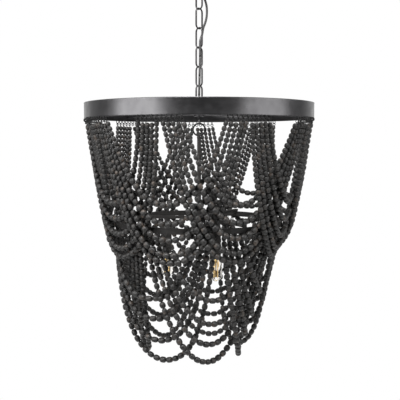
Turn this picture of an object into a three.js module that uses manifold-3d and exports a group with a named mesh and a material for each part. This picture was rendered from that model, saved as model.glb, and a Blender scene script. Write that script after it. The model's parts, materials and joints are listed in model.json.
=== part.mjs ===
// Beaded chandelier: two tiers of draped bead strands under a flat metal band, three lights inside.
// Millimetres, +Z up. The origin is the middle of the ceiling strap's top face.
import * as THREE from 'three';
import { mergeVertices } from 'three/addons/utils/BufferGeometryUtils.js';
import Module from 'manifold-3d';

const wasm = await Module();
wasm.setup();

// Shared clearance between pieces that touch
const seatGap = 0.3;
const cutOverrun = 1;
const mergeTolerance = 1e-4;

// Ceiling fitting
const strapLength = 100;
const strapWidth = 24;
const strapThickness = 3;
const screwSpacing = 70;
const screwShankDiameter = 4;
const screwHeadDiameter = 8.5;
const screwHeadHeight = 3;
const canopyDiameter = 127;
const canopyHeight = 22;
const canopyWall = 1.6;
const canopyNeckDiameter = 44;
const canopyShoulderShare = 0.55;
const canopyRimShare = 0.3;
const canopyTopShare = 0.8;
const collarDiameter = 32;
const nutDiameter = 40;
const nutHeight = 6;

// Chain and eyes
const linkCount = 6;
const linkWire = 2.6;
const linkLength = 47.6;
const linkWidth = 21;
const eyeWire = 3;
const loopRadius = 7;
const hubEyeRadius = 8;
const chainTurn = Math.PI / 4;

// Upper frame
const bandDiameter = 508;
const bandHeight = 34;
const bandThickness = 3;
const bandLip = 1.2;
const hubDiameter = 24;
const hubHeight = 11;
const spokeWidth = 10;
const spokeHeight = 6;
const spokeDrop = 3;
const hubShank = 3;

// Hanging ring, stem and lower frame
const hangingRingRadius = 13.4;
const stemEyeRadius = 5;
const stemDiameter = 9;
const stemLength = 170;
const lowerHubDiameter = 34;
const lowerHubHeight = 14;
const finialShare = 1 / 3;
const lowerRingDiameter = 374;
const lowerRingWidth = 5;
const lowerRingHeight = 12;
const lowerSpokeWidth = 8;
const lowerSpokeHeight = 6;

// Lights
const lightCount = 3;
const lightTurn = -Math.PI / 2;
const lightCircleRadius = 73;
const nippleDiameter = 8;
const nippleLength = 13;
const cupDiameter = 27;
const cupHeight = 14;
const socketDiameter = 22;
const socketLength = 50;
const socketBore = 17;
const bulbBaseDiameter = 14;
const bulbBaseLength = 22;
const bulbDiameter = 28;
const bulbLength = 53;
const bulbTipShares = [[0.5, 0.14], [0.87, 0.5]];
const bulbShoulderShares = [0.85, 0.4];

// Supply cable
const cableDiameter = 5;
const cableOffset = 6.6;
const cableExitOffset = 9;
const cableBulge = 20;
const cableReturnShare = 0.8;
const cableWeaveShare = 0.55;

// Bead strands
const hangerWire = 2.6;
const upperStrandDiameter = 8.4;
const lowerStrandDiameter = 8.8;

// How finely each kind of piece is cut into flat faces
const wireSides = 6;
const eyeSegments = 16;
const holeSegments = 12;
const screwSegments = 10;
const canopySegments = 24;
const collarSegments = 20;
const nutSegments = 16;
const linkSegments = 22;
const cableSegments = 26;
const cableSides = 8;
const bandSegments = 54;
const hubSegments = 24;
const shankSegments = 10;
const hangingRingSegments = 20;
const stemSegments = 16;
const lowerRingSegments = 36;
const lightSegments = 14;
const strandSteps = 10;
const strandSides = 4;
const hangerSteps = 4;
const hangerSides = 4;

const full = Math.PI * 2;
const degree = Math.PI / 180;
const upward = new THREE.Vector3(0, 0, 1);
const group = new THREE.Group();

const darkMetal = { color: 0x3a3838, roughness: 0.55, metalness: 0.7 };
const chainMetal = { color: 0x2b2a2a, roughness: 0.4, metalness: 0.8 };
const darkWood = { color: 0x2a2422, roughness: 0.65, metalness: 0 };
const socketMetal = { color: 0x33302e, roughness: 0.5, metalness: 0.6 };
const clearGlass = { color: 0xf2e8d8, roughness: 0.05, metalness: 0, transparent: true, opacity: 0.4 };
const cableSheath = { color: 0x1d1c1c, roughness: 0.6, metalness: 0 };
const screwSteel = { color: 0x9a9a98, roughness: 0.35, metalness: 0.9 };

// A closed geometry holds only its places, with the shared vertices merged
function closed(geometry) {
  const plain = geometry.clone();
  plain.deleteAttribute('normal');
  plain.deleteAttribute('uv');
  return mergeVertices(plain, mergeTolerance);
}

function toSolid(geometry) {
  const plain = closed(geometry);
  const mesh = new wasm.Mesh({
    numProp: 3,
    vertProperties: new Float32Array(plain.attributes.position.array),
    triVerts: new Uint32Array(plain.index.array),
  });
  mesh.merge();
  return new wasm.Manifold(mesh);
}

function fromSolid(solid) {
  const mesh = solid.getMesh();
  const geometry = new THREE.BufferGeometry();
  geometry.setAttribute('position', new THREE.BufferAttribute(new Float32Array(mesh.vertProperties), 3));
  geometry.setIndex(new THREE.BufferAttribute(new Uint32Array(mesh.triVerts), 1));
  geometry.computeVertexNormals();
  return geometry;
}

function join(...geometries) {
  const solids = geometries.map(toSolid);
  return fromSolid(solids.reduce((whole, next) => whole.add(next)));
}

function cut(geometry, ...tools) {
  const solids = tools.map(toSolid);
  return fromSolid(solids.reduce((whole, next) => whole.subtract(next), toSolid(geometry)));
}

function add(name, geometry, look) {
  const mesh = new THREE.Mesh(geometry, new THREE.MeshStandardMaterial(look));
  mesh.name = name;
  group.add(mesh);
}

// A lathe profile is a list of [radius, height]
function turned(profile, segments) {
  const points = profile.map(([radius, height]) => new THREE.Vector2(radius, height));
  return new THREE.LatheGeometry(points, segments).rotateX(Math.PI / 2);
}

function rod(diameter, bottom, top, segments) {
  const radius = diameter / 2;
  return turned([[0, bottom], [radius, bottom], [radius, top], [0, top]], segments);
}

function hoop(inner, outer, bottom, top, segments) {
  return turned([[inner, bottom], [outer, bottom], [outer, top], [inner, top], [inner, bottom]], segments);
}

// An upright wire eye. Turn 0 lies in the XZ plane.
function eye(radius, centreHeight, turn, segments = eyeSegments) {
  return new THREE.TorusGeometry(radius, eyeWire / 2, wireSides, segments)
    .rotateX(Math.PI / 2)
    .rotateZ(turn)
    .translate(0, 0, centreHeight);
}

// A point at a radius, an angle and a height: angle 0 is the front, and angles grow to the right
function around(radius, angle, height) {
  return new THREE.Vector3(radius * Math.sin(angle), -radius * Math.cos(angle), height);
}

function polygon(radius, sides) {
  const shape = new THREE.Shape();
  for (let side = 0; side < sides; side += 1) {
    const turn = (full * side) / sides;
    const method = side === 0 ? 'moveTo' : 'lineTo';
    shape[method](radius * Math.cos(turn), radius * Math.sin(turn));
  }
  shape.closePath();
  return shape;
}

function tube(points, diameter, steps, sides) {
  const path = new THREE.CatmullRomCurve3(points, false, 'centripetal');
  return new THREE.ExtrudeGeometry(polygon(diameter / 2, sides), { steps, extrudePath: path, bevelEnabled: false });
}

// Levels down the middle of the object
const loopMeet = (linkWire + eyeWire) / 2 + seatGap;
const linkMeet = linkWire + seatGap;
const strapBottom = -strapThickness;
const canopyBottom = -canopyHeight;
const collarBottom = canopyBottom - nutHeight + seatGap;
const loopCentre = collarBottom - loopRadius;
const firstLinkTop = loopCentre - loopRadius + loopMeet;
const linkPitch = linkLength - linkWire - linkMeet;
const lastLinkBottom = firstLinkTop - linkPitch * (linkCount - 1) - (linkLength - linkWire);
const hubEyeCentre = lastLinkBottom + loopMeet - hubEyeRadius;
const hubTop = hubEyeCentre - hubEyeRadius;
const hubBottom = hubTop - hubHeight;
const bandTop = hubTop + bandHeight / 2;
const bandBottom = bandTop - bandHeight;
const lowerEyeCentre = hubBottom - hubShank - hubEyeRadius;
const hangingRingCentre = lowerEyeCentre - hubEyeRadius + eyeWire + seatGap - hangingRingRadius;
const stemEyeCentre = hangingRingCentre - hangingRingRadius + eyeWire + seatGap - stemEyeRadius;
const stemTop = stemEyeCentre - stemEyeRadius;
const lowerHubTop = stemTop - stemLength;
const lowerHubBottom = lowerHubTop - lowerHubHeight;
const lowerSpokeTop = lowerHubTop - (lowerHubHeight - lowerSpokeHeight) / 2;
const lowerSpokeBottom = lowerSpokeTop - lowerSpokeHeight;
const lowerRingTop = lowerSpokeBottom - seatGap;
const lowerRingBottom = lowerRingTop - lowerRingHeight;

// Ceiling strap: its top face lies on the ceiling
function ceilingFitting() {
  const shankHole = screwShankDiameter + seatGap * 2;
  const strap = new THREE.BoxGeometry(strapLength, strapWidth, strapThickness).translate(0, 0, strapBottom / 2);
  const holes = [-1, 1].map((side) =>
    rod(shankHole, strapBottom - cutOverrun, cutOverrun, holeSegments).translate((side * screwSpacing) / 2, 0, 0));
  add('ceiling_strap', cut(strap, ...holes), screwSteel);
  for (const [name, side] of [['left', -1], ['right', 1]]) {
    const headTop = strapBottom - seatGap;
    const screw = turned([
      [0, headTop - screwHeadHeight],
      [screwHeadDiameter / 4, headTop - screwHeadHeight],
      [screwHeadDiameter / 2, headTop - screwHeadHeight / 2],
      [screwHeadDiameter / 2, headTop],
      [screwShankDiameter / 2, headTop],
      [screwShankDiameter / 2, -seatGap],
      [0, -seatGap],
    ], screwSegments);
    add(`strap_screw_${name}`, screw.translate((side * screwSpacing) / 2, 0, 0), screwSteel);
  }
}

// Canopy cup, the collar that carries the chain, and the nut that holds the canopy up.
// The collar is wider than a link, so the canopy and its nut can be lowered over the chain.
function canopyFitting() {
  const rim = canopyDiameter / 2;
  const neck = canopyNeckDiameter / 2;
  const hole = collarDiameter / 2 + seatGap;
  const shoulder = canopyBottom * canopyShoulderShare;
  const rimBend = shoulder * canopyRimShare;
  const shoulderRadius = rim * canopyTopShare;
  add('canopy', turned([
    [rim - canopyWall, -seatGap],
    [rim - canopyWall, rimBend],
    [shoulderRadius, shoulder],
    [neck, canopyBottom + canopyWall],
    [hole, canopyBottom + canopyWall],
    [hole, canopyBottom],
    [neck, canopyBottom],
    [shoulderRadius + canopyWall / 2, shoulder - canopyWall],
    [rim, rimBend],
    [rim, -seatGap],
    [rim - canopyWall, -seatGap],
  ], canopySegments), darkMetal);
  const nut = hoop(hole, nutDiameter / 2, canopyBottom - nutHeight, canopyBottom - seatGap, nutSegments);
  add('canopy_nut', nut, darkMetal);
  const collar = rod(collarDiameter, collarBottom, strapBottom - seatGap, collarSegments);
  add('canopy_loop', join(collar, eye(loopRadius, loopCentre, chainTurn)), chainMetal);
}

// The middle line of one link: two straight sides and two half circles
class LinkCurve extends THREE.Curve {
  getPoint(share, target = new THREE.Vector3()) {
    const radius = (linkWidth - linkWire) / 2;
    const straight = linkLength - linkWire - radius * 2;
    const arc = Math.PI * radius;
    let run = share * (straight + arc) * 2;
    const side = run < straight + arc ? 1 : -1;
    run -= side === 1 ? 0 : straight + arc;
    if (run < straight) {
      return target.set(side * radius, 0, side * (run - straight / 2));
    }
    const turn = (run - straight) / radius;
    return target.set(side * radius * Math.cos(turn), 0, side * (straight / 2 + radius * Math.sin(turn)));
  }
}

function linkMiddle(index) {
  return firstLinkTop - linkPitch * index - (linkLength - linkWire) / 2;
}

function chain() {
  for (let index = 0; index < linkCount; index += 1) {
    const turn = index % 2 === 0 ? -chainTurn : chainTurn;
    const link = new THREE.TubeGeometry(new LinkCurve(), linkSegments, linkWire / 2, wireSides, true);
    add(`chain_link_${index + 1}`, closed(link.rotateZ(turn).translate(0, 0, linkMiddle(index))), chainMetal);
  }
}

// The cable leaves the collar, bows out once and is woven down through the links into the hub
function supplyCable() {
  const quarter = linkLength / 4;
  const weave = cableOffset * cableWeaveShare;
  const points = [
    [cableExitOffset, 0, collarBottom - seatGap],
    [cableExitOffset, 0, linkMiddle(0) + quarter],
    [cableExitOffset, 0, linkMiddle(0) - quarter / 2],
    [cableBulge, 0, linkMiddle(1) + quarter / 2],
    [cableBulge * cableReturnShare, 0, linkMiddle(1) - quarter / 2],
    [cableOffset, 0, linkMiddle(2) + quarter],
    [cableOffset, 0, linkMiddle(2)],
    [cableOffset, 0, linkMiddle(3) + quarter],
    [weave, -weave, linkMiddle(3)],
    [0, -cableOffset, linkMiddle(3) - quarter],
    [0, -cableOffset, linkMiddle(4)],
    [0, -cableOffset, linkMiddle(5)],
    [0, -cableOffset, hubTop + quarter],
    [0, -cableOffset, hubTop + seatGap],
  ].map(([x, y, z]) => new THREE.Vector3(x, y, z));
  add('supply_cable', tube(points, cableDiameter, cableSegments, cableSides), cableSheath);
}

// Flat band with a small rolled lip at both edges
function upperBand() {
  const outer = bandDiameter / 2;
  const inner = outer - bandThickness;
  add('upper_band', turned([
    [inner, bandBottom],
    [outer, bandBottom],
    [outer - bandLip, bandBottom + bandLip],
    [outer - bandLip, bandTop - bandLip],
    [outer, bandTop],
    [inner, bandTop],
    [inner, bandBottom],
  ], bandSegments), darkMetal);
}

// Hub with four spokes, an eye above for the chain and an eye below for the hanging ring
function upperSpider() {
  const reach = bandDiameter / 2 - bandThickness - seatGap * 2;
  const spokeMiddle = hubBottom + spokeDrop + spokeHeight / 2;
  const bar = (turn) => new THREE.BoxGeometry(reach * 2, spokeWidth, spokeHeight)
    .rotateZ(turn)
    .translate(0, 0, spokeMiddle);
  const shankBottom = lowerEyeCentre + hubEyeRadius - eyeWire / 2;
  add('upper_spider', join(
    rod(hubDiameter, hubBottom, hubTop, hubSegments),
    bar(chainTurn),
    bar(-chainTurn),
    eye(hubEyeRadius, hubEyeCentre, linkCount % 2 === 0 ? -chainTurn : chainTurn),
    rod(eyeWire * 2, shankBottom, hubBottom + cutOverrun, shankSegments),
    eye(hubEyeRadius, lowerEyeCentre, Math.PI / 2),
  ), darkMetal);
}

function hangingParts() {
  const ring = eye(hangingRingRadius, hangingRingCentre, 0, hangingRingSegments);
  add('hanging_ring', closed(ring), chainMetal);
  add('stem', join(
    eye(stemEyeRadius, stemEyeCentre, Math.PI / 2),
    rod(stemDiameter, lowerHubTop + seatGap, stemTop + eyeWire / 2, stemSegments),
  ), darkMetal);
  const radius = lowerHubDiameter / 2;
  const finial = lowerHubBottom - lowerHubHeight / 2;
  add('lower_hub', turned([
    [0, finial],
    [radius * finialShare, finial],
    [radius / 2, lowerHubBottom],
    [radius, lowerHubBottom + seatGap],
    [radius, lowerHubTop - stemDiameter / 4],
    [stemDiameter / 2 + seatGap, lowerHubTop],
    [0, lowerHubTop],
  ], stemSegments), darkMetal);
}

function lightAngle(index) {
  return lightTurn + (full * index) / lightCount;
}

// Three spokes carry the lower ring, and each one carries a light
function lowerFrame() {
  const outer = lowerRingDiameter / 2;
  const start = lowerHubDiameter / 2 + seatGap * 2;
  const length = outer - start;
  const ring = hoop(outer - lowerRingWidth, outer, lowerRingBottom, lowerRingTop, lowerRingSegments);
  add('lower_ring', ring, darkMetal);
  for (let index = 0; index < lightCount; index += 1) {
    const spoke = new THREE.BoxGeometry(lowerSpokeWidth, length, lowerSpokeHeight)
      .translate(0, -(start + length / 2), (lowerSpokeTop + lowerSpokeBottom) / 2)
      .rotateZ(lightAngle(index));
    add(`lower_spoke_${index + 1}`, spoke, darkMetal);
  }
}

// Each light is a cup on a short nipple, a socket with an open bore, and a bulb in it
function lights() {
  const nippleTop = lowerSpokeBottom - seatGap;
  const cupTop = nippleTop - nippleLength;
  const cupBottom = cupTop - cupHeight;
  const socketTop = cupBottom - seatGap;
  const socketBottom = socketTop - socketLength;
  const boreTop = socketBottom + bulbBaseLength + seatGap * 2;
  const glassTop = socketBottom - seatGap;
  const glassBottom = glassTop - bulbLength;
  const glass = bulbDiameter / 2;
  const base = bulbBaseDiameter / 2;
  for (let index = 0; index < lightCount; index += 1) {
    const place = around(lightCircleRadius, lightAngle(index), 0);
    const number = index + 1;
    const cup = turned([
      [0, cupBottom],
      [cupDiameter / 2, cupBottom],
      [cupDiameter / 2, cupBottom + cupHeight / 2],
      [nippleDiameter, cupTop],
      [nippleDiameter / 2, cupTop],
      [nippleDiameter / 2, nippleTop],
      [0, nippleTop],
    ], lightSegments);
    add(`socket_cup_${number}`, cup.translate(place.x, place.y, 0), socketMetal);
    const socket = turned([
      [0, boreTop],
      [socketBore / 2, boreTop],
      [socketBore / 2, socketBottom],
      [socketDiameter / 2, socketBottom],
      [socketDiameter / 2, socketTop],
      [0, socketTop],
    ], lightSegments);
    add(`lamp_socket_${number}`, socket.translate(place.x, place.y, 0), socketMetal);
    const bulb = turned([
      [0, glassBottom],
      ...bulbTipShares.map(([across, up]) => [glass * across, glassBottom + glass * up]),
      [glass, glassBottom + glass],
      [glass, glassTop - glass],
      [glass * bulbShoulderShares[0], glassTop - glass * bulbShoulderShares[1]],
      [base, glassTop],
      [base, glassTop + bulbBaseLength],
      [0, glassTop + bulbBaseLength],
    ], lightSegments);
    add(`bulb_${number}`, bulb.translate(place.x, place.y, 0), clearGlass);
  }
}

// The curve scale of a catenary with this half span and sag, found by halving a wide bracket
function catenaryScale(halfSpan, sag) {
  const bracket = 20;
  const rounds = 60;
  let low = halfSpan / bracket;
  let high = halfSpan * bracket;
  for (let round = 0; round < rounds; round += 1) {
    const middle = (low + high) / 2;
    if (middle * (Math.cosh(halfSpan / middle) - 1) > sag) {
      low = middle;
    } else {
      high = middle;
    }
  }
  return (low + high) / 2;
}

// One strand hangs in the upright plane of its chord. Where its neighbours cross it, the left arm
// lies outside them and the right arm inside. The shallow strands are pushed out by those behind.
function strandPoints(strand) {
  const { ringRadius, centreAngle, halfAngle, top, sag, stepAside, bulge } = strand;
  const half = ringRadius * Math.sin(halfAngle);
  const distance = ringRadius * Math.cos(halfAngle);
  const bottom = top - sag;
  const scale = catenaryScale(half, sag);
  const run = scale * Math.sinh(half / scale);
  const points = [];
  for (let step = 0; step <= strandSteps; step += 1) {
    const along = scale * Math.asinh((run * ((step * 2) / strandSteps - 1)) / scale);
    const height = bottom + scale * (Math.cosh(along / scale) - 1);
    const turn = (Math.PI * along) / half;
    const flat = distance - stepAside * Math.sin(turn) + bulge * Math.cos(turn / 2);
    points.push(new THREE.Vector3(along, -flat, height).applyAxisAngle(upward, centreAngle));
  }
  return points;
}

// A tier's angles are in degrees. Each strand has its own end offset and sag, longest strand first.
const upperTier = {
  name: 'upper_swag',
  clusters: 9,
  firstAngle: -17.5,
  ringRadius: (bandDiameter - bandThickness) / 2,
  hangerTop: bandBottom - seatGap,
  endOffsets: [2.3, 4.9, 7.5, 10.1],
  sags: [277, 244, 207, 175],
  strandDiameter: upperStrandDiameter,
  stepAside: 8.5,
  middleBulge: 5,
};

const lowerTier = {
  name: 'lower_swag',
  clusters: 7,
  firstAngle: 12.9,
  ringRadius: (lowerRingDiameter - lowerRingWidth) / 2,
  hangerTop: lowerRingBottom - seatGap,
  endOffsets: [2.6, 6.3, 10, 13.7],
  sags: [264, 216, 174, 127],
  strandDiameter: lowerStrandDiameter,
  stepAside: 12,
  middleBulge: 18,
};

// A short bent wire that carries the four strand ends of one half cluster
function hangerPiece(tier, clusterAngle, side) {
  const offsets = tier.endOffsets;
  const spare = (offsets[1] - offsets[0]) / 2;
  const from = clusterAngle + side * (offsets[0] - spare) * degree;
  const to = clusterAngle + side * (offsets[offsets.length - 1] + spare) * degree;
  const height = tier.hangerTop - hangerWire / 2;
  const points = [];
  for (let step = 0; step <= hangerSteps; step += 1) {
    points.push(around(tier.ringRadius, from + ((to - from) * step) / hangerSteps, height));
  }
  return tube(points, hangerWire, hangerSteps, hangerSides);
}

function tierSwags(tier) {
  const spacing = full / tier.clusters;
  for (let index = 0; index < tier.clusters; index += 1) {
    const centreAngle = tier.firstAngle * degree + spacing * index;
    const pieces = tier.endOffsets.map((offset, order) => tube(strandPoints({
      ringRadius: tier.ringRadius,
      centreAngle,
      halfAngle: spacing - offset * degree,
      top: tier.hangerTop - hangerWire,
      sag: tier.sags[order],
      stepAside: tier.stepAside,
      bulge: (tier.middleBulge * order) / (tier.sags.length - 1),
    }), tier.strandDiameter, strandSteps, strandSides));
    pieces.push(hangerPiece(tier, centreAngle - spacing, 1));
    pieces.push(hangerPiece(tier, centreAngle + spacing, -1));
    add(`${tier.name}_${index + 1}`, join(...pieces), darkWood);
  }
}

ceilingFitting();
canopyFitting();
chain();
supplyCable();
upperBand();
upperSpider();
hangingParts();
lowerFrame();
lights();
tierSwags(upperTier);
tierSwags(lowerTier);

export default group;
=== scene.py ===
import json
import math

import bpy
import numpy as np
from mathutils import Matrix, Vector


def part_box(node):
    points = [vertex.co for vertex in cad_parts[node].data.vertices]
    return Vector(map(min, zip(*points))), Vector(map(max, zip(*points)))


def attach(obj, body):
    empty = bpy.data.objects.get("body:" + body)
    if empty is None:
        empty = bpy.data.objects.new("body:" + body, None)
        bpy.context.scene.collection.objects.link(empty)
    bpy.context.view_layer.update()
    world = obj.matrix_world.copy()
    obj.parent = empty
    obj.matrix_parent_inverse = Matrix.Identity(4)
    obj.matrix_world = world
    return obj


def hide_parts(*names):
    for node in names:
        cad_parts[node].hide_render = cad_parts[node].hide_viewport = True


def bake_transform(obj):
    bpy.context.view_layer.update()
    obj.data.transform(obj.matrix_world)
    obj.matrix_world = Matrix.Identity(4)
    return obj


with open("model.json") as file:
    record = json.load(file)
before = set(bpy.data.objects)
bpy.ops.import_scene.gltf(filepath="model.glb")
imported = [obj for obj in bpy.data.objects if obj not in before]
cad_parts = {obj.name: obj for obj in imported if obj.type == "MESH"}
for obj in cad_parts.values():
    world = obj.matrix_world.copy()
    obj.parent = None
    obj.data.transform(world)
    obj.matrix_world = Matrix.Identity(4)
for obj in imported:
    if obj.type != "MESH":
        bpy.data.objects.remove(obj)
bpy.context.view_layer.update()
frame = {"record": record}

SEED = 7
rng = np.random.default_rng(SEED)

DEGREE = math.pi / 180
UP = np.array([0.0, 0.0, 1.0])
ALONG_X = np.array([1.0, 0.0, 0.0])
NEARLY_UPRIGHT = 0.9

# Sizes in metres, as in the CAD model
CLEARANCE = 0.0003
BAND_RADIUS = 0.254
BAND_THICKNESS = 0.003
HANGER_WIRE = 0.0026
UPPER_RING_RADIUS = BAND_RADIUS - BAND_THICKNESS / 2
LOWER_RING_RADIUS = 0.1845
LINK_WIDTH = 0.021
LINK_WIRE = 0.0013
CABLE_RADIUS = 0.0025

# The two tiers of draped strands, with the longest strand of a swag first.
# first_angle and end_offsets are in degrees. Angles start at the front and rise to the right.
# end_offsets: how much each strand's half span falls short of the clusters' spacing.
# step_aside: how far a swag's left arm passes outside, and its right arm inside, its neighbours.
# middle_bulge: how far the middle of the shortest strand stands out.
# waist, waist_pull_share: of what lies beyond the waist's radius, this share is drawn in.
# side_pull, side_power: how far the right side is drawn in, and how late on the way down.
# left_push: how far the left side stands out at half height.
UPPER = dict(
    name="upper_swag",
    clusters=9,
    first_angle=-17.5,
    ring_radius=UPPER_RING_RADIUS,
    hanger_top=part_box("upper_band")[0][2] - CLEARANCE,
    end_offsets=(1.1, 3.3, 5.5, 7.8, 10.1),
    sags=(0.289, 0.272, 0.243, 0.207, 0.175),
    step_aside=0.0085,
    middle_bulge=0.005,
    bead_pitch=0.0110,
    bead_radius=0.0048,
    middle_growth_share=0.34,
    waist=0.190,
    waist_pull_share=0.45,
    side_pull=0.019,
    side_power=6.0,
    left_push=0,
    body="upper_tier",
)
LOWER = dict(
    name="lower_swag",
    clusters=7,
    first_angle=12.9,
    ring_radius=LOWER_RING_RADIUS,
    hanger_top=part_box("lower_ring")[0][2] - CLEARANCE,
    end_offsets=(2.6, 6.3, 10.0, 13.7),
    sags=(0.282, 0.234, 0.188, 0.140),
    step_aside=0.012,
    middle_bulge=0.018,
    bead_pitch=0.0140,
    bead_radius=0.0056,
    middle_growth_share=0.14,
    waist=0,
    waist_pull_share=0,
    side_pull=0.028,
    side_power=0.5,
    left_push=0.007,
    body="lower_tier",
)
WAIST_POWER = 0.7
SAG_SPREAD = 0.004
ARM_SWAY = 0.0012
MIDDLE_SWAY = 0.001
STRAND_SAMPLES = 260

# Beads: the outline holds shares of the half length and of the radius, from the end inwards
BEAD_OUTLINE_SHARES = ((1.0, 0.26), (0.93, 0.55), (0.74, 0.80), (0.42, 0.96), (0.0, 1.0))
BEAD_HALF_LENGTH_SHARE = 0.485
BEAD_HOLE_HEIGHT_SHARE = 0.97
BEAD_WIDTH_SPREAD_SHARE = 0.07
BEAD_OVAL_SPREAD_SHARE = 0.03
BEAD_COUNT_SPREAD_SHARE = 0.06
BEAD_TILT = 5 * DEGREE
BEAD_SIDES = 10

# Threads, and the pair of wire rings at each end of a strand
THREAD_RADIUS = 0.0007
THREAD_SIDES = 5
THREAD_SAMPLES = slice(2, -2, 6)
RING_RADIUS = 0.0038
RING_WIRE = 0.0009
HOOK_DROP_SHARE = 0.55
LOOP_DROP_SHARE = 1.4
LOOP_RADIUS_SHARE = 0.82
LOOP_TWIST_SHARE = 0.25

# Looks of the metals: two tones of the paint or metal, and how it shines
METALS = {
    "dark_metal": dict(
        dark=(0.052, 0.051, 0.053), light=(0.068, 0.067, 0.069), roughness=0.33, metallic=0.9),
    "chain_metal": dict(
        dark=(0.020, 0.0195, 0.020), light=(0.040, 0.038, 0.039), roughness=0.34, metallic=0.35,
        gloss=0.35),
    "hook_metal": dict(
        dark=(0.005, 0.005, 0.005), light=(0.010, 0.0095, 0.0095), roughness=0.45, metallic=0.1,
        gloss=0.2),
    # Black paint darkened far below the band's tone: painted shade for the metal inside the beads
    "inner_metal_painted_shade": dict(
        dark=(0.010, 0.0095, 0.0095), light=(0.018, 0.0165, 0.0155), roughness=0.62, metallic=0.0,
        gloss=0.20),
    "socket_metal": dict(
        dark=(0.020, 0.019, 0.018), light=(0.034, 0.031, 0.030), roughness=0.45, metallic=0.4),
    "steel": dict(
        dark=(0.42, 0.42, 0.41), light=(0.55, 0.55, 0.54), roughness=0.36, metallic=0.95),
    "brass": dict(
        dark=(0.45, 0.32, 0.14), light=(0.60, 0.44, 0.20), roughness=0.32, metallic=0.95),
}
# The beads' stain as (value of the noise, tone), and what shows where they are rubbed
WOOD_STAIN_STOPS = (
    (0.30, (0.0055, 0.0055, 0.0055)),
    (0.46, (0.0075, 0.0072, 0.0072)),
    (0.62, (0.0150, 0.0135, 0.0125)),
    (0.78, (0.046, 0.034, 0.026)),
)
RUBBED_TONE = (0.085, 0.081, 0.077, 1)
RUBBED_SHARE = 0.34
# Nodes inside the beads, which look nearly black: their metal is black paint darkened further than the
# band's, as painted shade for the shadow that the beads cast on them
NODES_IN_PAINTED_SHADE = ("stem", "lower_hub", "lower_ring", "lower_spoke_1", "lower_spoke_2", "lower_spoke_3")
PAINT_GRAIN_DEPTH = 0.0002
WOOD_GRAIN_DEPTH = 0.0003
SHEATH_GRAIN_DEPTH = 0.0002
ROUGHNESS_SPREAD_SHARE = 0.06


# Shader helpers
def grey(level):
    return (level, level, level)


def new_material(name):
    material = bpy.data.materials.new(name)
    material.use_nodes = True
    tree = material.node_tree
    return material, tree, tree.nodes["Principled BSDF"]


def set_sockets(shader, values):
    for socket, value in values.items():
        shader.inputs[socket].default_value = value


def noise(tree, scale, detail=3.0, roughness=0.5):
    place = tree.nodes.new("ShaderNodeTexCoord")
    node = tree.nodes.new("ShaderNodeTexNoise")
    node.inputs["Scale"].default_value = scale
    node.inputs["Detail"].default_value = detail
    node.inputs["Roughness"].default_value = roughness
    tree.links.new(place.outputs["Object"], node.inputs["Vector"])
    return node.outputs["Fac"]


def ramp(tree, value, stops):
    """A colour for each value from 0 to 1. The stops are (value, colour), lowest first."""
    node = tree.nodes.new("ShaderNodeValToRGB")
    first, last = node.color_ramp.elements[0], node.color_ramp.elements[1]
    first.position, first.color = stops[0][0], (*stops[0][1], 1)
    last.position, last.color = stops[-1][0], (*stops[-1][1], 1)
    for position, colour in stops[1:-1]:
        element = node.color_ramp.elements.new(position)
        element.color = (*colour, 1)
    tree.links.new(value, node.inputs["Fac"])
    return node.outputs["Color"]


def two_tones(tree, value, dark, light):
    """Drifts from the first tone to the second over the middle of the noise's range."""
    return ramp(tree, value, [(0.3, dark), (0.7, light)])


def bump(tree, shader, height, strength, depth):
    node = tree.nodes.new("ShaderNodeBump")
    node.inputs["Strength"].default_value = strength
    node.inputs["Distance"].default_value = depth
    tree.links.new(height, node.inputs["Height"])
    tree.links.new(node.outputs["Normal"], shader.inputs["Normal"])


# Materials
def painted_metal(name, dark, light, roughness, metallic, gloss=0.5):
    material, tree, shader = new_material(name)
    cloud = noise(tree, scale=22.0, detail=4.0)
    tree.links.new(two_tones(tree, cloud, dark, light), shader.inputs["Base Color"])
    speckle = noise(tree, scale=900.0, detail=2.0)
    wear = ramp(tree, noise(tree, scale=60.0), [
        (0.25, grey(roughness - ROUGHNESS_SPREAD_SHARE)),
        (0.8, grey(roughness + ROUGHNESS_SPREAD_SHARE)),
    ])
    tree.links.new(wear, shader.inputs["Roughness"])
    set_sockets(shader, {"Metallic": metallic, "Specular IOR Level": gloss})
    bump(tree, shader, speckle, strength=0.12, depth=PAINT_GRAIN_DEPTH)
    return material


def bead_wood():
    """Dark stained wood, browner in patches and rubbed pale in fine specks."""
    material, tree, shader = new_material("bead_wood")
    stain = ramp(tree, noise(tree, scale=75.0, detail=1.0), WOOD_STAIN_STOPS)
    rub = noise(tree, scale=520.0, detail=4.0, roughness=0.65)
    pale = ramp(tree, rub, [(0.50, grey(0.0)), (0.72, grey(1.0))])
    rubbed = tree.nodes.new("ShaderNodeMath")
    rubbed.operation = "MULTIPLY"
    rubbed.inputs[1].default_value = RUBBED_SHARE
    mix = tree.nodes.new("ShaderNodeMix")
    mix.data_type = "RGBA"
    mix.inputs["B"].default_value = RUBBED_TONE
    tree.links.new(pale, rubbed.inputs[0])
    tree.links.new(rubbed.outputs[0], mix.inputs["Factor"])
    tree.links.new(stain, mix.inputs["A"])
    tree.links.new(mix.outputs["Result"], shader.inputs["Base Color"])
    roughness = two_tones(tree, noise(tree, scale=240.0), grey(0.36), grey(0.62))
    tree.links.new(roughness, shader.inputs["Roughness"])
    set_sockets(shader, {"Specular IOR Level": 0.28})
    grain = noise(tree, scale=1500.0, detail=3.0)
    bump(tree, shader, grain, strength=0.35, depth=WOOD_GRAIN_DEPTH)
    return material


def thread_material():
    material, tree, shader = new_material("waxed_thread")
    colour = two_tones(tree, noise(tree, scale=900.0), (0.010, 0.009, 0.009), (0.03, 0.027, 0.025))
    tree.links.new(colour, shader.inputs["Base Color"])
    set_sockets(shader, {"Roughness": 0.8})
    return material


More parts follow.
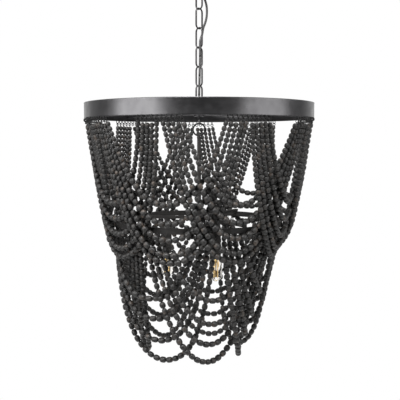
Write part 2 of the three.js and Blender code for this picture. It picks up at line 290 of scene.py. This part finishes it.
def cable_material():
    material, tree, shader = new_material("cable_sheath")
    colour = two_tones(tree, noise(tree, scale=400.0), (0.008, 0.008, 0.008), (0.022, 0.021, 0.021))
    tree.links.new(colour, shader.inputs["Base Color"])
    set_sockets(shader, {"Roughness": 0.5})
    bump(tree, shader, noise(tree, scale=2500.0, detail=1.0), strength=0.3, depth=SHEATH_GRAIN_DEPTH)
    return material


def glass_material():
    material, tree, shader = new_material("bulb_glass")
    tint = two_tones(tree, noise(tree, scale=30.0), (0.96, 0.93, 0.88), (1.0, 0.98, 0.95))
    tree.links.new(tint, shader.inputs["Base Color"])
    set_sockets(shader, {"Roughness": 0.02, "IOR": 1.12, "Transmission Weight": 1.0})
    return material


def filament_material():
    material, tree, shader = new_material("filament")
    colour = two_tones(tree, noise(tree, scale=700.0), (0.72, 0.47, 0.17), (0.90, 0.68, 0.34))
    tree.links.new(colour, shader.inputs["Base Color"])
    set_sockets(shader, {"Roughness": 0.45})
    return material


def floor_material():
    material, tree, shader = new_material("pale_floor")
    colour = two_tones(tree, noise(tree, scale=6.0), (0.80, 0.80, 0.79), (0.84, 0.84, 0.83))
    tree.links.new(colour, shader.inputs["Base Color"])
    set_sockets(shader, {"Roughness": 0.7, "Emission Color": (1, 1, 1, 1), "Emission Strength": 0.4})
    return material


def dress_nodes(looks):
    """Each carried-over node gets the material of its slot, but the nodes inside the beads get a black
    metal darkened as painted shade.
    """
    slots = {part["node"]: part["material_slot"] for part in frame["record"]["subparts"]}
    for node, slot in slots.items():
        # The metal inside the beads is darkened as painted shade
        look = looks["inner_metal_painted_shade"] if node in NODES_IN_PAINTED_SHADE else looks[slot]
        for holder in bpy.data.objects[node].material_slots:
            holder.material = look


# Mesh helpers
def mesh_object(name, vertices, faces, material):
    mesh = bpy.data.meshes.new(name)
    mesh.from_pydata([tuple(vertex) for vertex in vertices], [], [tuple(face) for face in faces])
    mesh.materials.append(material)
    mesh.polygons.foreach_set("use_smooth", [True] * len(mesh.polygons))
    mesh.update()
    piece = bpy.data.objects.new(name, mesh)
    bpy.context.collection.objects.link(piece)
    return piece


class Builder:
    """Gathers many small closed forms into one mesh."""

    def __init__(self):
        self.vertices = []
        self.faces = []
        self.count = 0

    def add(self, vertices, faces):
        self.vertices.append(vertices)
        self.faces.extend([[index + self.count for index in face] for face in faces])
        self.count += len(vertices)

    def make(self, name, material):
        return mesh_object(name, np.concatenate(self.vertices), self.faces, material)


def turned_faces(rings, sides):
    """Faces of a turned form: a pole, rings of points, and a pole."""
    faces = []
    last = 1 + rings * sides
    for side in range(sides):
        after = (side + 1) % sides
        faces.append([0, 1 + after, 1 + side])
        for ring in range(rings - 1):
            start = 1 + ring * sides
            faces.append([start + side, start + after, start + sides + after, start + sides + side])
        start = 1 + (rings - 1) * sides
        faces.append([start + side, start + after, last])
    return faces


def turned_points(profile, sides):
    """Points of a turned form. The profile is (radius, height), and both its ends are on the axis."""
    points = [(0, 0, profile[0][1])]
    for radius, height in profile[1:-1]:
        for side in range(sides):
            turn = math.tau * side / sides
            points.append((radius * math.cos(turn), radius * math.sin(turn), height))
    points.append((0, 0, profile[-1][1]))
    return np.array(points)


def turned_piece(name, profile, material, place=(0, 0, 0), sides=40):
    points = turned_points(profile, sides) + np.array(place)
    return mesh_object(name, points, turned_faces(len(profile) - 2, sides), material)


def frame_for(direction):
    """Three unit vectors as columns, of which the third is the direction."""
    direction = direction / np.linalg.norm(direction)
    helper = ALONG_X if abs(direction[2]) >= NEARLY_UPRIGHT else UP
    side = np.cross(helper, direction)
    side /= np.linalg.norm(side)
    return np.stack([side, np.cross(direction, side), direction], axis=1)


def torus(centre, normal, radius, wire, steps=16, sides=6):
    axes = frame_for(np.asarray(normal, float))
    points = []
    faces = []
    for step in range(steps):
        turn = math.tau * step / steps
        out = axes[:, 0] * math.cos(turn) + axes[:, 1] * math.sin(turn)
        next_step = (step + 1) % steps
        for side in range(sides):
            roll = math.tau * side / sides
            ring_middle = centre + out * (radius + wire * math.cos(roll))
            points.append(ring_middle + axes[:, 2] * wire * math.sin(roll))
            next_side = (side + 1) % sides
            faces.append([step * sides + side, next_step * sides + side,
                          next_step * sides + next_side, step * sides + next_side])
    return np.array(points), faces


def tube_faces(rings, sides):
    faces = []
    for ring in range(rings - 1):
        for side in range(sides):
            after = (side + 1) % sides
            start = ring * sides
            faces.append([start + side, start + after, start + sides + after, start + sides + side])
    faces.append(list(range(sides))[::-1])
    faces.append([(rings - 1) * sides + side for side in range(sides)])
    return faces


def tube(path, radius, sides=8):
    """A closed tube round the path, whose rings don't twist."""
    path = np.asarray(path, float)
    points = []
    tangents = np.gradient(path, axis=0)
    side_way = frame_for(tangents[0])[:, 0]
    for centre, tangent in zip(path, tangents):
        along = tangent / np.linalg.norm(tangent)
        side_way = side_way - along * np.dot(side_way, along)
        side_way /= np.linalg.norm(side_way)
        up = np.cross(along, side_way)
        for side in range(sides):
            turn = math.tau * side / sides
            points.append(centre + radius * (side_way * math.cos(turn) + up * math.sin(turn)))
    return np.array(points), tube_faces(len(path), sides)


def smooth_path(points, steps_each=8):
    """A Catmull-Rom curve through the points."""
    points = [np.array(point, float) for point in points]
    points = [2 * points[0] - points[1]] + points + [2 * points[-1] - points[-2]]
    result = []
    for p0, p1, p2, p3 in zip(points, points[1:], points[2:], points[3:]):
        for step in range(steps_each):
            t = step / steps_each
            result.append(0.5 * ((2 * p1) + (p2 - p0) * t + (2 * p0 - 5 * p1 + 4 * p2 - p3) * t ** 2
                                 + (3 * p1 - p0 - 3 * p2 + p3) * t ** 3))
    result.append(points[-2])
    return result


# Bead strands
def catenary_scale(half_span, sag):
    """The scale of the catenary that sags this much over twice the half span, by halving."""
    widest_ratio = 20
    halvings = 60
    low, high = half_span / widest_ratio, half_span * widest_ratio
    for _ in range(halvings):
        middle = (low + high) / 2
        if middle * (math.cosh(half_span / middle) - 1) > sag:
            low = middle
        else:
            high = middle
    return (low + high) / 2


def strand_path(tier, centre_angle, order):
    """The strand's line from its left end to its right end: the CAD model's, shaped to the photograph."""
    spacing = math.tau / tier["clusters"]
    half_angle = spacing - tier["end_offsets"][order] * DEGREE
    half_span = tier["ring_radius"] * math.sin(half_angle)
    distance = tier["ring_radius"] * math.cos(half_angle)
    sag = tier["sags"][order] + rng.uniform(-SAG_SPREAD, SAG_SPREAD)
    bulge = tier["middle_bulge"] * order / (len(tier["sags"]) - 1)
    top = tier["hanger_top"] - HANGER_WIRE
    scale = catenary_scale(half_span, sag)
    run = scale * math.sinh(half_span / scale)
    along = scale * np.arcsinh(np.linspace(-run, run, STRAND_SAMPLES) / scale)
    height = top - sag + scale * (np.cosh(along / scale) - 1)

    turn = math.pi * along / half_span
    flat = distance - tier["step_aside"] * np.sin(turn) + bulge * np.cos(turn / 2)
    arm_sway = rng.uniform(-ARM_SWAY, ARM_SWAY)
    middle_sway = rng.uniform(-MIDDLE_SWAY, MIDDLE_SWAY)
    flat = flat + (arm_sway * np.sin(turn) + middle_sway * np.cos(turn / 2))
    cosine, sine = math.cos(centre_angle), math.sin(centre_angle)
    across, deep = along * cosine + flat * sine, along * sine - flat * cosine

    radius = np.hypot(across, deep)
    drop = np.clip((top - height) / max(tier["sags"]), 0, 1)
    rightward = np.clip(across / radius, 0, 1)
    leftward = np.clip(-across / radius, 0, 1)
    drawn_in = np.maximum(radius - tier["waist"], 0) * tier["waist_pull_share"] * drop ** WAIST_POWER
    drawn_in = drawn_in + tier["side_pull"] * rightward * drop ** tier["side_power"]
    drawn_in = drawn_in - tier["left_push"] * leftward * np.sin(math.pi * drop)
    share = 1 - drawn_in / radius
    return np.stack([across * share, deep * share, height], axis=1)


def bead_profile(tier):
    """A bead's outline, with its hole sunk in at both ends."""
    radius = tier["bead_radius"]
    half = tier["bead_pitch"] * BEAD_HALF_LENGTH_SHARE
    upper_side = [(radius * width, half * height) for height, width in BEAD_OUTLINE_SHARES]
    lower_side = [(radius * width, -half * height) for height, width in BEAD_OUTLINE_SHARES[:-1]]
    hole = half * BEAD_HOLE_HEIGHT_SHARE
    return [(0, -hole)] + lower_side + upper_side[::-1] + [(0, hole)]


def place_beads(builder, path, tier, faces, shape):
    """Fills the path between its end rings with beads, each a little off in size, tilt and turn."""
    steps = np.linalg.norm(np.diff(path, axis=0), axis=1)
    run = np.concatenate([[0], np.cumsum(steps)])
    pair_of_rings = 2 * RING_RADIUS
    slack = tier["bead_pitch"] / 2
    start = pair_of_rings + rng.uniform(0, slack)
    length = run[-1] - start - pair_of_rings - rng.uniform(0, slack)
    growth = tier["middle_growth_share"]
    pitch_factor = rng.uniform(1 - BEAD_COUNT_SPREAD_SHARE, 1 + BEAD_COUNT_SPREAD_SHARE)
    count = int(round(length / (tier["bead_pitch"] * (1 + growth / 2) * pitch_factor)))
    growths = 1 + growth * np.sin(np.pi * (np.arange(count) + 0.5) / count) ** 2
    pitches = growths * length / growths.sum()
    edges = start + np.concatenate([[0], np.cumsum(pitches)])
    for index in range(count):
        middle = (edges[index] + edges[index + 1]) / 2
        centre, before, after = (
            np.array([np.interp(place, run, path[:, axis]) for axis in range(3)])
            for place in (middle, edges[index], edges[index + 1])
        )
        axes = frame_for(after - before)
        tilt = rng.uniform(-BEAD_TILT, BEAD_TILT, 2)
        lean = np.array([[1, 0, tilt[0]], [0, 1, tilt[1]], [-tilt[0], -tilt[1], 1]])
        roll = rng.uniform(0, math.tau)
        cosine, sine = math.cos(roll), math.sin(roll)
        turn = np.array([[cosine, -sine, 0], [sine, cosine, 0], [0, 0, 1]])
        wide = growths[index] * (1 + rng.uniform(-BEAD_WIDTH_SPREAD_SHARE, BEAD_WIDTH_SPREAD_SHARE))
        oval = 1 + rng.uniform(-BEAD_OVAL_SPREAD_SHARE, BEAD_OVAL_SPREAD_SHARE)
        size = np.array([wide, wide * oval, pitches[index] / tier["bead_pitch"]])
        points = (shape * size) @ turn.T @ lean.T @ axes.T + centre
        builder.add(points, faces)


def end_rings(wires, end, hanger_top):
    """A ring on the hanger wire and a smaller one that hangs in it."""
    out = np.array([end[0], end[1], 0.0]) / math.hypot(end[0], end[1])
    along = np.array([-out[1], out[0], 0.0])
    hook = np.array([end[0], end[1], hanger_top - RING_RADIUS * HOOK_DROP_SHARE])
    loop = hook - np.array([0, 0, RING_RADIUS * LOOP_DROP_SHARE])
    wires.add(*torus(hook, along, RING_RADIUS, RING_WIRE))
    wires.add(*torus(loop, out + along * LOOP_TWIST_SHARE, RING_RADIUS * LOOP_RADIUS_SHARE, RING_WIRE))


def tier_swags(tier, wood, metal, thread):
    profile = bead_profile(tier)
    shape = turned_points(profile, BEAD_SIDES)
    faces = turned_faces(len(profile) - 2, BEAD_SIDES)
    spacing = math.tau / tier["clusters"]
    for index in range(tier["clusters"]):
        centre_angle = tier["first_angle"] * DEGREE + spacing * index
        beads, wires, threads = Builder(), Builder(), Builder()
        for order in range(len(tier["sags"])):
            path = strand_path(tier, centre_angle, order)
            place_beads(beads, path, tier, faces, shape)
            threads.add(*tube(path[THREAD_SAMPLES], THREAD_RADIUS, THREAD_SIDES))
            for end in (path[0], path[-1]):
                end_rings(wires, end, tier["hanger_top"])
        node = f"{tier['name']}_{index + 1}"
        parts = ((beads, "beads", wood), (wires, "hooks", metal), (threads, "thread", thread))
        for builder, word, material in parts:
            piece = builder.make(f"{node}_{word}", material)
            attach(piece, tier["body"])
            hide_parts(node)


# Lamps: the outer sizes come from the frame
CAP_LENGTH = 0.022
SCREW_LENGTH = 0.0195
SCREW_DEPTH = 0.0006
SCREW_STEPS = 28
STEPS_PER_THREAD = 4
CONTACT_LENGTH = 0.0012
CONTACT_SHARES = (0.5, 0.3)
FILAMENTS = 4
FILAMENT_RADIUS = 0.0011
FILAMENT_PLACE_SHARE = 0.36
FILAMENT_TOP_GAP = 0.012
FILAMENT_LOW_GAP = 0.009
STEM_TOP_GAP = 0.001
STEM_FLARE_RADIUS = 0.004
STEM_FLARE_DROP = 0.002
STEM_PINCH_RADIUS = 0.0025
STEM_PINCH_DROP = 0.010
STEM_ROD_RADIUS = 0.0012
STEM_ROD_DROP = 0.014
STEM_TIP_RADIUS = 0.0008
STEM_TIP_LENGTH = 0.001
STEM_SIDES = 16


def glass_profile(radius, base_radius, end, neck):
    """A tube with a round end below and a round shoulder up to its neck."""
    profile = [(0, end)]
    first_turn = 0.15
    for turn in np.linspace(first_turn, math.pi / 2, 10):
        profile.append((radius * math.sin(turn), end + radius * (1 - math.cos(turn))))
    for turn in np.linspace(0, math.pi / 2, 8):
        width = base_radius + (radius - base_radius) * math.cos(turn)
        profile.append((width, neck - radius * (1 - math.sin(turn))))
    return profile + [(0, neck)]


def cap_profile(base_radius, neck, top):
    """A screw cap that narrows to its contact."""
    profile = [(0, neck)]
    for step in range(SCREW_STEPS + 1):
        groove = SCREW_DEPTH if step % STEPS_PER_THREAD in (1, 2) else 0
        profile.append((base_radius - groove, neck + SCREW_LENGTH * step / SCREW_STEPS))
    wide, narrow = CONTACT_SHARES
    return profile + [(base_radius * wide, top - CONTACT_LENGTH), (base_radius * narrow, top), (0, top)]


def stem_profile(end, neck):
    """The rod inside the glass, flared at its top."""
    foot = end + FILAMENT_LOW_GAP
    return [
        (0, foot),
        (STEM_TIP_RADIUS, foot + STEM_TIP_LENGTH),
        (STEM_ROD_RADIUS, neck - STEM_ROD_DROP),
        (STEM_PINCH_RADIUS, neck - STEM_PINCH_DROP),
        (STEM_FLARE_RADIUS, neck - STEM_FLARE_DROP),
        (0, neck - STEM_TOP_GAP),
    ]


def lamps(glass, filament, brass):
    for number in (1, 2, 3):
        node = f"bulb_{number}"
        low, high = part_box(node)
        centre = ((low[0] + high[0]) / 2, (low[1] + high[1]) / 2, 0)
        radius = (high[0] - low[0]) / 2
        base_radius = radius / 2
        neck = high[2] - CAP_LENGTH
        end = low[2]
        glass_outline = glass_profile(radius, base_radius, end, neck)
        envelope = turned_piece(f"{node}_glass", glass_outline, glass, centre)
        cap = turned_piece(f"{node}_base", cap_profile(base_radius, neck, high[2]), brass, centre)
        wires = Builder()
        top, bottom = neck - FILAMENT_TOP_GAP, end + FILAMENT_LOW_GAP
        for strip in range(FILAMENTS):
            turn = math.tau * (strip + 0.5) / FILAMENTS
            x = centre[0] + radius * FILAMENT_PLACE_SHARE * math.cos(turn)
            y = centre[1] + radius * FILAMENT_PLACE_SHARE * math.sin(turn)
            wires.add(*tube([(x, y, top), (x, y, (top + bottom) / 2), (x, y, bottom)], FILAMENT_RADIUS))
        strip_piece = wires.make(f"{node}_filament", filament)
        stem = turned_piece(f"{node}_stem", stem_profile(end, neck), brass, centre, STEM_SIDES)
        for piece in (envelope, cap, strip_piece, stem):
            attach(piece, f"lamp_{number}")
            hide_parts(node)


# Chain links and the hanging ring, with round wire
LINKS = range(1, 7)
LINK_TURN = math.pi / 4
LINK_END_WIRE = 0.00144
LINK_SIDE_WIRE = 0.0021
HANGING_RING_WIRE = 0.0018
STOUT_POWER = 4


def stadium(length, width, steps=14):
    """The line of a link's wire: two straight sides and two half rounds."""
    straight = length / 2 - width / 2
    points = []
    for first_turn, level in ((0, straight), (math.pi, -straight)):
        for step in range(steps + 1):
            turn = first_turn + math.pi * step / steps
            points.append((width / 2 * math.cos(turn), level + width / 2 * math.sin(turn)))
    return points


def closed_wire(outline, side_way, centre, end_wire, side_wire, sides=12):
    """A closed loop of wire, whose radius grows from its two ends to its straight sides."""
    points = []
    faces = []
    tallest = max(z for _, z in outline)
    path = [centre + side_way * x + np.array([0, 0, z]) for x, z in outline]
    count = len(path)
    across = np.cross(side_way, UP)
    for index in range(count):
        next_index = (index + 1) % count
        along = path[next_index] - path[index - 1]
        along /= np.linalg.norm(along)
        out = np.cross(along, across)
        stoutness = 1 - (outline[index][1] / tallest) ** STOUT_POWER
        radius = end_wire + (side_wire - end_wire) * stoutness
        for side in range(sides):
            turn = math.tau * side / sides
            points.append(path[index] + radius * (out * math.cos(turn) + across * math.sin(turn)))
            next_side = (side + 1) % sides
            faces.append([index * sides + side, index * sides + next_side,
                          next_index * sides + next_side, next_index * sides + side])
    return np.array(points), faces


def chain(metal, ring_metal):
    for number in LINKS:
        node = f"chain_link_{number}"
        low, high = (np.array(corner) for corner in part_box(node))
        centre = (low + high) / 2
        length = high[2] - low[2] - 2 * LINK_WIRE
        width = LINK_WIDTH - 2 * LINK_WIRE
        turn = -LINK_TURN if number % 2 else LINK_TURN
        side_way = np.array([math.cos(turn), math.sin(turn), 0])
        outline = stadium(length, width)
        points, faces = closed_wire(outline, side_way, centre, LINK_END_WIRE, LINK_SIDE_WIRE)
        piece = mesh_object(f"{node}_round", points, faces, metal)
        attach(piece, f"link_{number}")
        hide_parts(node)
    node = "hanging_ring"
    low, high = (np.array(corner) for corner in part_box(node))
    radius = (high[0] - low[0]) / 2 - LINK_WIRE
    points, faces = torus((low + high) / 2, (0, 1, 0), radius, HANGING_RING_WIRE, steps=48, sides=12)
    piece = mesh_object("hanging_ring_round", points, faces, ring_metal)
    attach(piece, "ring")
    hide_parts(node)


# Supply cable: the places that its route passes, as in the CAD model
CABLE_SIDE = 0.009
CABLE_LANE = 0.0066
CABLE_NEAR = 0.002
CABLE_FRONT = -0.0063
CHAIN_TOP = -0.0386
LINK_PITCH = 0.0421
LINK_HALF = 0.0225
LINK_QUARTER = 0.0119


def cable_route(top, foot):
    """Beside the upper links with one bow, then into the third link and down along the others."""
    middle = [CHAIN_TOP - LINK_PITCH * index - LINK_HALF for index in range(len(LINKS))]
    return smooth_path([
        (CABLE_SIDE, 0, top),
        (CABLE_SIDE, 0, -0.043),
        (CABLE_SIDE + 0.0008, 0, -0.055),
        (0.0142, 0, -0.067),
        (0.0166, 0, -0.078),
        (0.0172, 0, -0.091),
        (0.0160, 0, -0.103),
        (0.0130, 0, -0.114),
        (0.0092, 0, -0.124),
        (CABLE_LANE, 0, middle[2] + LINK_QUARTER * 0.6),
        (CABLE_LANE * 0.55, -CABLE_LANE * 0.55, middle[2] - LINK_QUARTER * 0.2),
        (CABLE_NEAR, CABLE_FRONT, middle[2] - LINK_QUARTER),
        (CABLE_NEAR, CABLE_FRONT, middle[3]),
        (CABLE_NEAR * 0.5, CABLE_FRONT, middle[4]),
        (0, CABLE_FRONT, middle[5]),
        (0, -CABLE_LANE, foot + LINK_QUARTER),
        (0, -CABLE_LANE, foot),
    ])


def supply_cable(sheath):
    """The cable is cut into stretches, so that one stretch of it crosses each of the chain's joints."""
    low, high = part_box("supply_cable")
    path = cable_route(high[2], low[2])
    sides = 14
    points, _ = tube(path, CABLE_RADIUS, sides)
    nodes = ["canopy_loop"] + [f"chain_link_{number}" for number in LINKS] + ["upper_spider"]
    meets = [(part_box(above)[0][2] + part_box(below)[1][2]) / 2 for above, below in zip(nodes, nodes[1:])]
    levels = [high[2]] + [(above + below) / 2 for above, below in zip(meets, meets[1:])] + [low[2]]
    heights = np.array([point[2] for point in path])
    rings = [int(np.argmin(abs(heights - level))) for level in levels]
    for number, (first, last) in enumerate(zip(rings, rings[1:])):
        part = points[first * sides:(last + 1) * sides]
        faces = tube_faces(last - first + 1, sides)
        piece = mesh_object(f"supply_cable_{number + 1}", part, faces, sheath)
        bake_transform(piece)
        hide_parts("supply_cable")


# Upper band
BAND_EDGE = 0.0006
BAND_ROLL_HEIGHT = 0.003
BAND_ROLL_SHARE = 0.6
BAND_SIDES = 240


def upper_band(metal):
    """The band with a true round and a soft rolled edge."""
    low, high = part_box("upper_band")
    outer = BAND_RADIUS
    inner = outer - BAND_THICKNESS
    face = outer - BAND_EDGE * BAND_ROLL_SHARE
    profile = [
        (inner, low[2] + BAND_EDGE),
        (inner + BAND_EDGE, low[2]),
        (outer - BAND_EDGE, low[2]),
        (outer, low[2] + BAND_EDGE),
        (face, low[2] + BAND_ROLL_HEIGHT),
        (face, high[2] - BAND_ROLL_HEIGHT),
        (outer, high[2] - BAND_EDGE),
        (outer - BAND_EDGE, high[2]),
        (inner + BAND_EDGE, high[2]),
        (inner, high[2] - BAND_EDGE),
    ]
    count = len(profile)
    points = []
    faces = []
    for side in range(BAND_SIDES):
        turn = math.tau * side / BAND_SIDES
        here, there = side * count, (side + 1) % BAND_SIDES * count
        for ring, (radius, height) in enumerate(profile):
            points.append((radius * math.cos(turn), radius * math.sin(turn), height))
            next_ring = (ring + 1) % count
            faces.append([here + ring, there + ring, there + next_ring, here + next_ring])
    piece = mesh_object("upper_band_round", points, faces, metal)
    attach(piece, "upper_tier")
    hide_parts("upper_band")


# Camera, read from the photograph's frame of 400 by 400 pixels
EYE_HEIGHT = -0.3726
EYE_DISTANCE = 1.53
FOCAL_PIXELS = 680
HORIZON_PIXEL = 141
IMAGE_PIXELS = 400
SENSOR_MILLIMETRES = 36
SIDE_SHIFT_SHARE = 0.0022
FARTHEST_SEEN = 50

# Studio lights, each with its place as azimuth, elevation and distance from what it aims at
LIGHT_AIM = (0, 0, -0.5)
SOFTBOXES = (
    dict(name="left_box", azimuth=-57, elevation=14, distance=2.2, size=(1.9, 1.8), power=84),
    dict(name="right_box", azimuth=64, elevation=12, distance=2.4, size=(2.0, 1.8), power=58),
    dict(name="top_box", azimuth=-6, elevation=56, distance=2.6, size=(1.0, 0.7), power=150),
)
# Brightness of the surroundings from behind the camera, at 0, to the far side, at 1
SURROUNDING_STOPS = ((0.0, 0.03), (0.50, 0.06), (0.62, 0.24), (0.78, 0.42), (0.89, 1.0))
FLOOR_LEVEL = -2.2
FLOOR_THICKNESS = 0.01
FLOOR_RADIUS = 3.0
FLOOR_SIDES = 96


def camera():
    data = bpy.data.cameras.new("camera")
    data.sensor_width = SENSOR_MILLIMETRES
    data.lens = FOCAL_PIXELS / IMAGE_PIXELS * SENSOR_MILLIMETRES
    data.clip_end = FARTHEST_SEEN
    data.shift_x = SIDE_SHIFT_SHARE
    eye = bpy.data.objects.new("camera", data)
    bpy.context.collection.objects.link(eye)
    pitch = math.atan((IMAGE_PIXELS / 2 - HORIZON_PIXEL) / FOCAL_PIXELS)
    eye.location = (0, -EYE_DISTANCE, EYE_HEIGHT)
    eye.rotation_euler = (math.pi / 2 - pitch, 0, 0)
    bpy.context.scene.camera = eye


def softbox(name, azimuth, elevation, distance, size, power):
    data = bpy.data.lights.new(name, "AREA")
    data.shape = "RECTANGLE"
    data.size, data.size_y = size
    data.energy = power
    light = bpy.data.objects.new(name, data)
    bpy.context.collection.objects.link(light)
    flat = distance * math.cos(elevation * DEGREE)
    target = Vector(LIGHT_AIM)
    light.location = target + Vector((
        flat * math.sin(azimuth * DEGREE),
        -flat * math.cos(azimuth * DEGREE),
        distance * math.sin(elevation * DEGREE),
    ))
    light.rotation_euler = (target - light.location).to_track_quat("-Z", "Y").to_euler()


def surroundings():
    """They light the object by the stops above, and look white to the camera and through glass."""
    world = bpy.data.worlds.new("studio")
    bpy.context.scene.world = world
    world.use_nodes = True
    tree = world.node_tree
    background = tree.nodes["Background"]
    place = tree.nodes.new("ShaderNodeTexCoord")
    split = tree.nodes.new("ShaderNodeSeparateXYZ")
    tree.links.new(place.outputs["Generated"], split.inputs[0])
    span = tree.nodes.new("ShaderNodeMapRange")
    span.inputs["From Min"].default_value = -1
    span.inputs["From Max"].default_value = 1
    tree.links.new(split.outputs["Y"], span.inputs["Value"])
    shade = ramp(tree, span.outputs["Result"], [(stop, grey(level)) for stop, level in SURROUNDING_STOPS])
    rays = tree.nodes.new("ShaderNodeLightPath")
    seen = tree.nodes.new("ShaderNodeMath")
    seen.operation = "MAXIMUM"
    tree.links.new(rays.outputs["Is Camera Ray"], seen.inputs[0])
    tree.links.new(rays.outputs["Is Transmission Ray"], seen.inputs[1])
    mix = tree.nodes.new("ShaderNodeMix")
    mix.data_type = "RGBA"
    mix.inputs["B"].default_value = (1, 1, 1, 1)
    tree.links.new(seen.outputs[0], mix.inputs["Factor"])
    tree.links.new(shade, mix.inputs["A"])
    tree.links.new(mix.outputs["Result"], background.inputs["Color"])
    background.inputs["Strength"].default_value = 1.0


def studio():
    surroundings()
    underside = FLOOR_LEVEL - FLOOR_THICKNESS
    profile = [(0, underside), (FLOOR_RADIUS, underside), (FLOOR_RADIUS, FLOOR_LEVEL), (0, FLOOR_LEVEL)]
    floor = turned_piece("floor", profile, floor_material(), sides=FLOOR_SIDES)
    for box in SOFTBOXES:
        softbox(**box)
    bpy.context.scene.view_settings.view_transform = "Standard"


# The scene
camera()
studio()
looks = {name: painted_metal(name, **look) for name, look in METALS.items()}
looks["bead_wood"] = bead_wood()
looks["thread"] = thread_material()
looks["cable_sheath"] = cable_material()
looks["bulb_glass"] = glass_material()
looks["filament"] = filament_material()
dress_nodes(looks)
tier_swags(UPPER, looks["bead_wood"], looks["hook_metal"], looks["thread"])
tier_swags(LOWER, looks["bead_wood"], looks["hook_metal"], looks["thread"])
lamps(looks["bulb_glass"], looks["filament"], looks["brass"])
chain(looks["chain_metal"], looks["hook_metal"])
supply_cable(looks["cable_sheath"])
upper_band(looks["dark_metal"])
